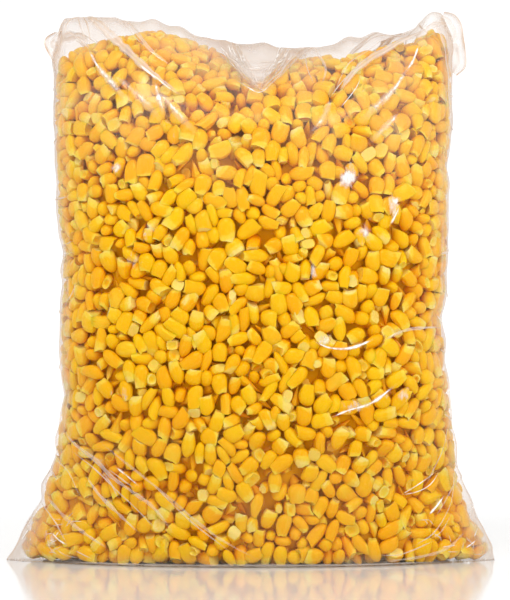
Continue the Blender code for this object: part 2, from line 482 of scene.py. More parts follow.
# %% Finding which balls are close
def close_pairs(balls, owner, reach):
    """Pairs of balls of different kernels that are nearer than reach, by sorting them into cells."""
    cell = np.floor((balls - field_first) / reach).astype(np.int64) + 1
    size = cell.max(axis=0) + 2
    key = (cell[:, 0] * size[1] + cell[:, 1]) * size[2] + cell[:, 2]
    order = np.argsort(key, kind="stable")
    ranked = key[order]
    firsts, seconds = [], []
    for step in np.ndindex(3, 3, 3):
        shift = np.array(step) - 1
        if tuple(shift) < (0, 0, 0):
            continue
        wanted = key + (shift[0] * size[1] + shift[1]) * size[2] + shift[2]
        begin = np.searchsorted(ranked, wanted, "left")
        found = np.searchsorted(ranked, wanted, "right") - begin
        has = np.nonzero(found)[0]
        many = found[has]
        first = np.repeat(has, many)
        within = np.arange(many.sum()) - np.repeat(np.cumsum(many) - many, many)
        second = order[np.repeat(begin[has], many) + within]
        if not shift.any():
            once = first < second
            first, second = first[once], second[once]
        firsts.append(first)
        seconds.append(second)
    first, second = np.concatenate(firsts), np.concatenate(seconds)
    gap = np.linalg.norm(balls[first] - balls[second], axis=1)
    keep = (owner[first] != owner[second]) & (gap < reach)
    return first[keep], second[keep]


# %% One step of the settling
EAGER = 1.6                 # pushing further than needed settles the heap in fewer steps


def best_turns(balls, outline):
    """The rotation that fits each flat ball outline best to where its balls have been pushed."""
    spread = np.einsum("nki,nkj->nij", balls - balls.mean(axis=1, keepdims=True), outline)
    wide, long = unit(spread[:, :, 0]), unit(spread[:, :, 2])
    between, apart = unit(wide + long), unit(wide - long)
    wide = (between + apart) / math.sqrt(2.0)
    long = (between - apart) / math.sqrt(2.0)
    return np.stack([wide, np.cross(long, wide), long], axis=-1)


def part_overlaps(balls, radius, first, second):
    """Push every overlapping pair of balls apart, and say how much they overlapped on average."""
    apart = balls[first] - balls[second]
    gap = np.linalg.norm(apart, axis=1) + 1e-12
    overlap = radius[first] + radius[second] - gap
    hit = overlap > 0.0
    i, j = first[hit], second[hit]
    push = apart[hit] * (0.5 * overlap[hit] / gap[hit])[:, None]
    total = len(balls)
    hits = np.bincount(i, minlength=total) + np.bincount(j, minlength=total)
    shove = np.stack([np.bincount(i, push[:, axis], total) - np.bincount(j, push[:, axis], total)
                      for axis in range(3)], axis=-1)
    return balls + EAGER * shove / np.maximum(hits, 1)[:, None], overlap[hit].mean()


# %% Growing and settling
START_SIZE = 0.5            # the kernels start at this share of their size
GROWING = 0.6               # and are grown after this share of the steps
PAIR_STEPS = 6              # steps between two searches for close balls
DRIFT = 0.02 * MM           # every step moves each ball this far outward
RETURN = 0.7                # a ball that is too deep comes back by this share
TOUCHING = 1.2 * MM


def settle(outline, radii):
    """Grow the kernels from half size until they fill the rind. Returns their middles and turns."""
    count = len(outline)
    cells = np.argwhere((field < -PITCH) & (field > 2 * MM - RIND))
    start = cells[draw.integers(0, len(cells), count)] + draw.uniform(-0.5, 0.5, (count, 3))
    middles = field_first + start * PITCH
    turns = loose_turns(count)
    owner = np.repeat(np.arange(count), BALLS)
    radius = radii.ravel()
    reach = 2.0 * radius.max() + TOUCHING
    balls = (middles[:, None] + np.einsum("nij,nkj->nki", turns, START_SIZE * outline)).reshape(-1, 3)
    for step in range(SETTLING_STEPS):
        size = min(1.0, START_SIZE + (1.0 - START_SIZE) * step / (GROWING * SETTLING_STEPS))
        if step % PAIR_STEPS == 0:
            first, second = close_pairs(balls, owner, reach)
        balls, overlap = part_overlaps(balls, size * radius, first, second)
        distance, outward = look_up(balls)
        outside = np.maximum(distance + size * radius, 0.0)
        too_deep = np.maximum(-RIND - distance, 0.0)
        balls = balls + outward * (RETURN * too_deep - outside + DRIFT)[:, None]
        grouped = balls.reshape(count, BALLS, 3)
        middles = grouped.mean(axis=1)
        turns = best_turns(grouped, outline)
        balls = (middles[:, None] + np.einsum("nij,nkj->nki", turns, size * outline)).reshape(-1, 3)
    distance, _ = look_up(balls)
    clearance = -(distance + radius).reshape(count, BALLS).max(axis=1)
    print(f"{count} kernels settled, mean overlap {overlap / MM:.2f} mm,",
          f"{time.perf_counter() - started:.1f} s")
    return middles, turns, clearance


widths = HALF_WIDTH * uneven(KERNELS, 0.10, 0.80, 1.25)
thicknesses = HALF_THICKNESS * uneven(KERNELS, 0.07, 0.84, 1.18)
lengths = HALF_LENGTH * uneven(KERNELS, 0.11, 0.75, 1.28)
ball_centres, ball_radii, ball_offset = ball_outline(widths, thicknesses, lengths)
middles, turns, clearance = settle(ball_centres, ball_radii)
middles = middles - np.einsum("nij,nj->ni", turns, ball_offset)
inside = np.nonzero(clearance > -STRAY)[0]
order_in = inside[np.argsort(clearance[inside])]
print("left out:", KERNELS - len(inside), " touching the film:", int(np.sum(clearance[inside] < TOUCHING)))

# %% [markdown]
# ## The shape of one kernel
# A kernel cut from the cob is like a small tooth: a full rounded crown, sides pressed flat by
# its neighbours on the cob, a body that narrows to the tip, and a pale cut across it, often
# slanting. The knife also takes a flat facet off many of them. A few sculpted kernels used over
# and over would show the same cut again and again. So one template of rings is sized, slanted,
# sliced, bent and pressed differently for each kernel, all of them at once, and no two are alike.
# A number on each corner says how pale the flesh is there, for the finish to read.

# %% The kernel template
KINDS = {
    # name: share of the kernels, width, length, tip width, crown roundness, crown squareness
    "plump": (0.28, 1.00, 1.00, 0.78, 2.0, 2.2),
    "square": (0.26, 1.03, 0.98, 0.88, 2.5, 2.6),
    "slender": (0.24, 0.92, 1.08, 0.72, 2.0, 2.2),
    "stubby": (0.22, 1.04, 0.86, 0.90, 2.1, 2.3),
}
CUT = -0.90                 # height of the middle of the cut, from -1 at the tip to 1 at the crown
CUT_RINGS = (0.50, 0.88)    # rings on the cut face, as shares of its rim
SLANT = (0.13, 0.11)        # usual steepness of the cut along the width and along the thickness
BROKEN_RIM = 0.86           # the cut's corners are broken off, not sharp
FRONT_RINGS, FRONT_SPOKES = 8, 12
DEEP_RINGS, DEEP_SPOKES = 4, 8
SWELL = 1.10                # soft kernels press into each other, so they are a little over size


def superellipse(angle, squareness):
    """How far the outline reaches at each angle: 2 is a circle, more is squarer."""
    return (np.abs(np.cos(angle)) ** squareness + np.abs(np.sin(angle)) ** squareness) ** (-1.0 / squareness)


def template(kind, count, rings, spokes):
    """Corners, (n, corners, 3) in half sizes, and how pale each of them is.

    They run from the middle of the cut over its rings and those of the body to the crown.
    """
    _, width_share, length_share, tip, roundness, squareness = KINDS[kind]
    angle = (np.arange(spokes) + 0.5) * 2.0 * np.pi / spokes
    climb = np.concatenate([[0.0, 0.05], np.sin(0.5 * np.pi * np.linspace(0.13, 0.97, rings - 2))])[:, None]
    tip = (tip * uneven(count, 0.12, 0.70, 1.20))[:, None, None]
    roundness = (roundness * uneven(count, 0.08, 0.85, 1.20))[:, None, None]
    squareness = (squareness * uneven(count, 0.10, 0.80, 1.30))[:, None, None]
    shoulder = draw.uniform(-0.30, 0.15, (count, 1, 1))
    boxy, round_end = superellipse(angle, squareness + 0.9), superellipse(angle, squareness - 0.1)
    reach = boxy + (round_end - boxy) * climb ** 0.7
    wide, thick = reach * np.cos(angle), reach * np.sin(angle)
    slope_wide, slope_thick = (steep * draw.normal(size=(count, 1, 1)) for steep in SLANT)
    slope = tip * (slope_wide * wide[:, :1] + slope_thick * thick[:, :1])
    rim = np.clip(CUT + slope, -1.2, -0.45) + draw.normal(0.0, 0.035, (count, 1, spokes))
    z = rim + climb * (1.0 - rim)
    crown = np.clip((z - shoulder) / (1.0 - shoulder), 0.0, 1.0)
    ring = (tip + (1.0 - tip) * rise(-1.0, 0.3, z)) * (1.0 - crown ** roundness) ** (1.0 / roundness)
    ring = ring * (BROKEN_RIM + (1.0 - BROKEN_RIM) * rise(0.0, 0.14, climb))
    body = np.stack([ring * wide, ring * thick, z], axis=-1)
    hollow = draw.uniform(0.0, 0.45, (count, 1, 1)) ** 1.4
    rings_in = [body[:, :1] * (share, share, 0.0) for share in CUT_RINGS]
    for share, made in zip(CUT_RINGS, rings_in):
        made[..., 2] = CUT + share * (rim - CUT) + hollow * (1.0 - share ** 2)
    ends = np.zeros((2, count, 1, 3))
    ends[0, ..., 2] = CUT + hollow[..., 0]
    ends[1, ..., 2] = 1.0
    shape = np.concatenate(rings_in + [body], axis=1).reshape(count, -1, 3)
    shape = np.concatenate([ends[0], shape, ends[1]], axis=1) * (width_share, 1.0, length_share)
    side = draw.uniform(0.0, 2.0 * np.pi, (count, 1, 1))
    uneven_side = draw.uniform(0.0, 0.34, (count, 1, 1)) * np.cos(angle - side)
    pale_reach = 0.02 + 0.40 * draw.random((count, 1, 1)) ** 1.8 + uneven_side
    pale_body = np.clip(0.5 + 1.7 * (pale_reach - climb), 0.0, 1.0)
    middle = 1.0 - 0.9 * rise(0.05, 0.30, hollow)
    pale_cut = [np.broadcast_to(middle + (1.0 - middle) * share, rim.shape) for share in CUT_RINGS]
    pale = np.concatenate(pale_cut + [pale_body], axis=1).reshape(count, -1)
    pale_crown = pale[:, -spokes:].mean(axis=1, keepdims=True)
    return shape, np.concatenate([middle[..., 0], pale, pale_crown], axis=1)


# %% Making each kernel different
CURVE, LEAN = 0.30 * MM, 0.35 * MM      # usual bend along a kernel, and lean of its crown
LUMPS, LUMP_SHARE = 3, 0.03
PRESSES, PRESS_FIRM = 4, 0.6            # flats where neighbours pressed, and how hard
FACETS = ((0.12, -0.9, 0.64), (0.04, -0.1, 0.72))       # share of kernels, lean to the tip, deepest cut


def bend(shape):
    """Curve each kernel a little along its length and lean its crown to one side."""
    count = len(shape)
    up = shape[..., 2:] / HALF_LENGTH
    curve = draw.normal(0.0, CURVE, (count, 1, 2))
    lean = draw.normal(0.0, LEAN, (count, 1, 2))
    shape[..., :2] += curve * (up ** 2 - 0.5) + lean * up * rise(-0.6, 1.0, up)
    return shape


def flatten(shape, ways, low_end, high_end, share=1.0, firm=1.0):
    """Press a share of the kernels flat against planes that face `ways`, and say how far corners moved."""
    count = len(shape)
    reach = np.einsum("nvi,ni->nv", shape, ways)
    limit = reach.max(axis=1, keepdims=True) * draw.uniform(low_end, high_end, (count, 1))
    chosen = draw.random((count, 1)) < share
    moved = np.where(chosen, firm * np.maximum(reach - limit, 0.0), 0.0)
    return shape - ways[:, None] * moved[..., None], moved


def press(shape):
    """Soft lumps, and flats where neighbours pressed."""
    count = len(shape)
    for _ in range(LUMPS):
        way = unit(draw.normal(size=(count, 3)))
        wave = draw.uniform(0.30, 0.65, (count, 1)) / MM
        phase = draw.uniform(0.0, 2.0 * np.pi, (count, 1))
        lump = np.sin(np.einsum("nvi,ni->nv", shape, way) * wave + phase)
        shape = shape * (1.0 + LUMP_SHARE * lump[..., None])
    for _ in range(PRESSES):
        way = unit(draw.normal(size=(count, 3)) * (1.0, 1.0, 0.35))
        shape, _ = flatten(shape, way, 0.84, 1.0, firm=PRESS_FIRM)
    return shape


def slice_off(shape, pale):
    """Take a flat pale facet off the lower side of many kernels, and off any side of a few."""
    count = len(shape)
    for share, lean, low_end in FACETS:
        way = unit(draw.normal(size=(count, 3)) * (1.0, 0.7, 0.3) + (0.0, 0.0, lean))
        shape, moved = flatten(shape, way, low_end, 0.82, share)
        pale = np.maximum(pale, np.where(moved > 0.0, np.clip(0.45 + moved / (0.3 * MM), 0.0, 1.0), 0.0))
    return shape, pale


# %% Faces and map places of one kernel
def kernel_faces(rings, spokes):
    """Triangles of one kernel and, for each of their corners, its place round and along."""
    faces, places = [], []
    last = 1 + rings * spokes
    for spoke in range(spokes):
        after = (spoke + 1) % spokes
        faces.append((0, 1 + after, 1 + spoke))
        places.append(((spoke + 0.5, 0.0), (spoke + 1, 1), (spoke, 1)))
        for ring in range(rings - 1):
            near, far = 1 + ring * spokes, 1 + (ring + 1) * spokes
            faces.append((near + spoke, near + after, far + after))
            places.append(((spoke, ring + 1), (spoke + 1, ring + 1), (spoke + 1, ring + 2)))
            faces.append((near + spoke, far + after, far + spoke))
            places.append(((spoke, ring + 1), (spoke + 1, ring + 2), (spoke, ring + 2)))
        top = 1 + (rings - 1) * spokes
        faces.append((top + spoke, top + after, last))
        places.append(((spoke, rings), (spoke + 1, rings), (spoke + 0.5, rings + 1)))
    places = np.array(places, float) / np.array([spokes, rings + 1.0])
    return np.array(faces), places


# %% Joining the kernels of one kind
TILES = 28                  # the kernels' map is a square of this many tiles a side
TILE_EDGE = 0.04
SHADOW_DEPTH = 5.5 * MM     # this far under the film, corn is lit only through other corn
CRISP = 42                  # degrees: cut edges stay crisp, round crowns stay smooth
PUSHED_BACK = 0.85          # share of its way out of the film that a kernel moves; the rest is flattened
OFF_GROUND = 0.3 * MM


def join_kernels(name, chosen, kind, rings, spokes):
    """One object from all the chosen kernels, each on a map tile of its own."""
    shape, pale = template(kind, len(chosen), rings, spokes)
    size = SWELL * np.stack([widths[chosen], thicknesses[chosen], lengths[chosen]], axis=-1)
    shape, pale = slice_off(press(bend(shape * size[:, None])), pale)
    placed = middles[chosen][:, None] + np.einsum("nij,nvj->nvi", turns[chosen], shape)
    distance, outward = (found.reshape(*placed.shape[:2], -1) for found in look_up(placed.reshape(-1, 3)))
    furthest = np.maximum(distance.max(axis=1), 0.0)
    placed -= (unit(outward.mean(axis=1)) * PUSHED_BACK * furthest)[:, None]
    left_over = np.maximum(distance[..., 0] - PUSHED_BACK * furthest, 0.0)
    placed -= outward * left_over[..., None]
    under_film = PUSHED_BACK * furthest + left_over - distance[..., 0]
    placed[..., 2] = np.maximum(placed[..., 2], OFF_GROUND)
    faces, places = kernel_faces(rings + len(CUT_RINGS), spokes)
    count, corners = placed.shape[:2]
    all_faces = (faces[None] + corners * np.arange(count)[:, None, None]).reshape(-1, 3)
    tile = np.stack([np.arange(count) % TILES, np.arange(count) // TILES], axis=-1)
    inner = TILE_EDGE + (1.0 - 2.0 * TILE_EDGE) * places
    on_map = (tile[:, None, None] + inner[None]) / TILES
    # deep is how far each corner lies under the film; the finish darkens deep corners as painted shade
    fields = {"pale": pale, "deep": np.clip(under_film / SHADOW_DEPTH, 0.0, 1.0)}
    made = make_mesh(name, placed.reshape(-1, 3), all_faces, on_map, fields, CRISP)
    print(f"{name}: {count} kernels, {len(all_faces)} triangles")
    return made


# %% Every kernel
FRONT = 2480                # kernels near the film, made finely
kernel_pieces = []
kind_of = draw.choice(len(KINDS), KERNELS, p=[facts[0] for facts in KINDS.values()])
for index, kind in enumerate(KINDS):
    near_film = order_in[:FRONT][kind_of[order_in[:FRONT]] == index]
    kernel_pieces.append(join_kernels(f"kernels_{kind}", near_film, kind, FRONT_RINGS, FRONT_SPOKES))
deeper = order_in[FRONT:]
for part, begin in enumerate(range(0, len(deeper), TILES * TILES)):
    chosen = deeper[begin:begin + TILES * TILES]
    kernel_pieces.append(join_kernels(f"kernels_deep_{part + 1}", chosen, "plump", DEEP_RINGS, DEEP_SPOKES))

# %% [markdown]
# ## The core
# Between the settled kernels the eye sees only more corn, deeper and darker. A lumpy core a
# little way in closes those gaps, so that no light leaks through the heap. It is the bag's own
# form drawn in, since anything finer would never be seen, and its colour is darker than the
# kernels', as painted shade.

# %% A lumpy core
CORE_DEPTH = 6.5 * MM
CORE_COLUMNS, CORE_ROWS = 64, 72
CORE_LUMP = 1.3 * MM
LUMP_ACROSS, LUMP_UP = 1.9 * MM, 2.4 * MM
CORE_TOP = 0.985            # the core stops short of where the film's two faces meet


def add_core():
    """The bag's own shape drawn in by CORE_DEPTH, with lumps of kernel size."""
    across, level = np.meshgrid(even_columns(CORE_COLUMNS), np.linspace(0.0, 1.0, CORE_ROWS))
    top = seam_height(across) - headspace(across) - CORE_DEPTH
    heart = Patchwork()
    for number, face in enumerate((-1, 1)):
        points = wall_point(face, across, level * CORE_TOP)
        points[..., 0] *= 1.0 - CORE_DEPTH / side_wall(across, points[..., 2])
        points[..., 1] *= 1.0 - CORE_DEPTH / BODY_HALF_DEPTH
        lump = np.sin(points[..., 0] / LUMP_ACROSS) * np.sin(points[..., 2] / LUMP_UP)
        points[..., 1] += face * CORE_LUMP * lump
        points[..., 2] = CORE_DEPTH + level * (top - CORE_DEPTH)
        spots = np.stack([(across + 1.0) / 4.0 + 0.5 * number, level], axis=-1)
        heart.add(points, spots, flip=face > 0)
    return heart.sew("kernels_core")


core = add_core()
print("core", len(core.data.polygons), "quads")

# %% [markdown]
# ## The film
# The film is thin, glassy and in one piece. It lies tight on the kernels below the shoulder and
# stands free above them, so it is one smooth sheet a fraction of a millimetre outside them, with
# a soft relief of its own: it bridges from kernel to kernel, buckles at the sides and is drawn
# into a fan of pleats at the gather. A cloth simulation could find such a form too, but it would
# take minutes, and its outline could not be chosen. Two numbers on the film's corners tell the
# finish how milky it is there and how much painted glint it carries: loose film is milky, pressed
# film is clear, and stretched film catches the light, which is painted on as white highlights.

# %% Where the film is gathered, and its relief
FILM_COLUMNS, FILM_WALL, FILM_TURN = 160, 104, 30
GATHER_TIP = (4.0, 198.0)                       # mm, as (x, z)
GATHER_ARMS = ((-15.0, 225.0), (24.0, 225.0))   # the tops of its two arms
CLOSEST = 0.1 * MM          # the film never comes nearer than this to its smooth form
BRIDGING = 0.15 * MM        # it bridges from kernel to kernel,
SWEEP = 0.35 * MM           # bellies in wide shallow waves,
STAND_OFF = 0.5 * MM        # stands off at the side walls,
TENT = 1.1 * MM             # is crumpled where it stands free above the corn,
PLEATS = 0.8 * MM           # and pleated at the gather


def gather(x, z):
    """1 along the two arms of the gather, which widen upward from its tip, and 0 away from them."""
    strength = 0.0
    for top in GATHER_ARMS:
        arm = Vector(top) - Vector(GATHER_TIP)
        east, north = arm.normalized()
        right, above = x / MM - GATHER_TIP[0], z / MM - GATHER_TIP[1]
        along = right * east + above * north
        aside = above * east - right * north
        reach = 1.6 + 0.12 * np.maximum(along, 0.0)
        strength = np.maximum(strength, bump(0.0, reach, aside) * rise(-2.0, 4.0, along))
    return strength


def inside_gather(x, z):
    """1 between the gather's two arms and 0 outside them."""
    above = z / MM - GATHER_TIP[1]
    edges = [GATHER_TIP[0] + (top[0] - GATHER_TIP[0]) * above / (top[1] - GATHER_TIP[1])
             for top in GATHER_ARMS]
    return rise(-1.0, 3.0, x / MM - edges[0]) * rise(-1.0, 3.0, edges[1] - x / MM) * rise(0.0, 3.0, above)


def film_relief(face, across, level):
    """How far the film stands out from its smooth form, in metres."""
    z = seam_height(across) * level
    x = across * side_wall(across, z)
    seed = 5 if face < 0 else 6
    bridging = BRIDGING * (1.0 + smooth_noise(x / (4.6 * MM), z / (5.0 * MM), seed))
    sweep = SWEEP * (1.0 + smooth_noise(x / (18 * MM) + z / (43 * MM), z / (29 * MM), seed + 2))
    edge = rise(0.80, 0.96, np.abs(across))
    stand_off = edge * STAND_OFF * (1.0 + smooth_noise(across * 50.0, z / (17 * MM), seed + 4))
    free = rise(0.90, 0.97, level)
    tent = free * TENT * smooth_noise(x / (8 * MM) + z / (10 * MM), z / (9 * MM), seed + 6)
    pleats = gather(x, z) * PLEATS * (1.0 + smooth_noise(x / (1.6 * MM), z / (5 * MM), seed + 8))
    settled = rise(0.0, 10 * MM, z) * (1.0 - rise(0.985, 1.0, level))
    ends = 1.0 - rise(0.985, 1.0, np.abs(across))
    return settled * ends * (CLOSEST + bridging + sweep * (1.0 - edge) + stand_off + tent + pleats)


# %% How milky the film is, and where highlights are painted on it
GLARE = (
    # across, level, reach across, reach up, strength: painted highlights where the film clings and catches
    # the light
    (0.42, 0.77, 0.30, 0.14, 0.16), (-0.40, 0.80, 0.18, 0.08, 0.16), (-0.62, 0.62, 0.16, 0.09, 0.08),
    (0.31, 0.555, 0.05, 0.025, 0.34), (0.48, 0.72, 0.05, 0.02, 0.34), (0.56, 0.61, 0.05, 0.03, 0.32),
    (0.70, 0.66, 0.04, 0.03, 0.34), (0.36, 0.425, 0.06, 0.016, 0.36), (0.48, 0.30, 0.10, 0.02, 0.32),
    (0.74, 0.32, 0.10, 0.02, 0.30), (-0.66, 0.306, 0.12, 0.03, 0.24), (-0.72, 0.187, 0.10, 0.02, 0.24),
    (-0.50, 0.60, 0.05, 0.02, 0.30), (-0.60, 0.55, 0.05, 0.02, 0.28), (-0.67, 0.715, 0.06, 0.02, 0.30),
    (0.84, 0.11, 0.10, 0.04, 0.22), (-0.86, 0.04, 0.08, 0.03, 0.26),
)
CLEARINGS = ((-0.89, 0.985, 0.035, 0.03, 0.30),)        # gaps between folds, the same five numbers
GLARE_STRENGTH = 1.3


def patches(spots, face, across, level):
    """The sum of soft spots on a face, mirrored on the back."""
    return sum(strength * bump(place, reach, -face * across) * bump(up, reach_up, level)
               for place, up, reach, reach_up, strength in spots)


def milkiness(face, across, level):
    """How milky the film is: more at the sides, above the corn, in the foot corners and at the gather."""
    z = seam_height(across) * level
    x = across * side_wall(across, z)
    seed = 31 if face < 0 else 32
    streaks = 0.5 + 0.5 * smooth_noise(x / (1.3 * MM), z / (24 * MM), seed)
    clouds = 0.5 + 0.5 * smooth_noise(x / (11 * MM), z / (13 * MM), seed + 2)
    side = rise(0.91, 0.99, np.abs(across)) * (0.08 + 0.22 * streaks)
    above_corn = 0.12 * rise(-4 * MM, 5 * MM, z - seam_height(across) + headspace(across))
    upper = rise(0.60, 0.95, level) * (0.02 + 0.16 * clouds)
    lower = rise(0.35, 0.05, level) * 0.05 * clouds
    foot_corner = rise(0.86, 0.97, np.abs(across)) * (1.0 - rise(0.03, 0.12, level)) * 0.25
    hem = 0.10 * clouds * (1.0 - rise(1.5 * MM, 6 * MM, z))
    gathered = 0.18 * gather(x, z) + 0.12 * inside_gather(x, z)
    milky = side + above_corn + upper + lower + foot_corner + hem + gathered
    return np.maximum(milky - patches(CLEARINGS, face, across, level), 0.0)


# %% The film as one sheet
FOOT_ROWS = 9
FOOT_LIFT = 0.1 * MM
FOOT_MILKY = 0.1
FOOT_SHARE = 0.05           # of the map's height, with a little more left empty above it
FLUTTER, FLUTTER_REACH = 1.1 * MM, 6 * MM       # the seam's edge waves up and down
SEAM_WELD = 0.02 * MM


def add_film():
    """Front, back and foot of the film, joined along their edges."""
    across, level = np.meshgrid(even_columns(FILM_COLUMNS), even_levels(FILM_WALL, FILM_TURN))
    sheet = Patchwork()
    edges = []
    for number, face in enumerate((-1, 1)):
        points = wall_point(face, across, level)
        outward = grid_normals(points) * -face
        points = points + outward * film_relief(face, across, level)[..., None]
        flutter = smooth_noise(points[..., 0] / FLUTTER_REACH, level, 71) * rise(0.95, 1.0, level)
        points[..., 2] += FLUTTER * flutter * (1.0 - rise(0.90, 1.0, np.abs(across)))
        spots = np.stack([(across + 1.0) / 4.0 + 0.5 * number, 0.06 + 0.94 * level], axis=-1)
        # painted highlights where the film clings, from the GLARE spots
        sheet.add(points, spots, flip=face > 0, milky=milkiness(face, across, level),
                  shiny=GLARE_STRENGTH * patches(GLARE, face, across, level))
        edges.append(points[0])
    shares = np.linspace(0.0, 1.0, FOOT_ROWS)[:, None, None]
    foot = edges[0][None] * (1.0 - shares) + edges[1][None] * shares
    foot[1:-1, :, 2] = FOOT_LIFT
    spots = even_spots(FOOT_ROWS, FILM_COLUMNS) * (1.0, FOOT_SHARE)
    sheet.add(foot, spots, flip=True, milky=FOOT_MILKY, shiny=0.0)
    made = sheet.sew("film")
    shell = bmesh.new()
    shell.from_mesh(made.data)
    bmesh.ops.remove_doubles(shell, verts=shell.verts, dist=SEAM_WELD)
    shell.to_mesh(made.data)
    shell.free()
    return made


film = add_film()
print("film", len(film.data.polygons), "faces")

# %% [markdown]
# ## Folds and pleats
# Film that is drawn together doubles over itself in narrow folds, and those are what the eye
# reads as film at all: each one is a thin dull line, a band with two bright edges, a soft flare
# of light or a white glint, and the bright ones are partly mirrored light and partly painted
# highlights in the strip's colour. A bump in the film's finish would vanish at the outline and in
# the exported mesh, so each fold is a thin arched strip, laid on the film along a route of a few
# points.

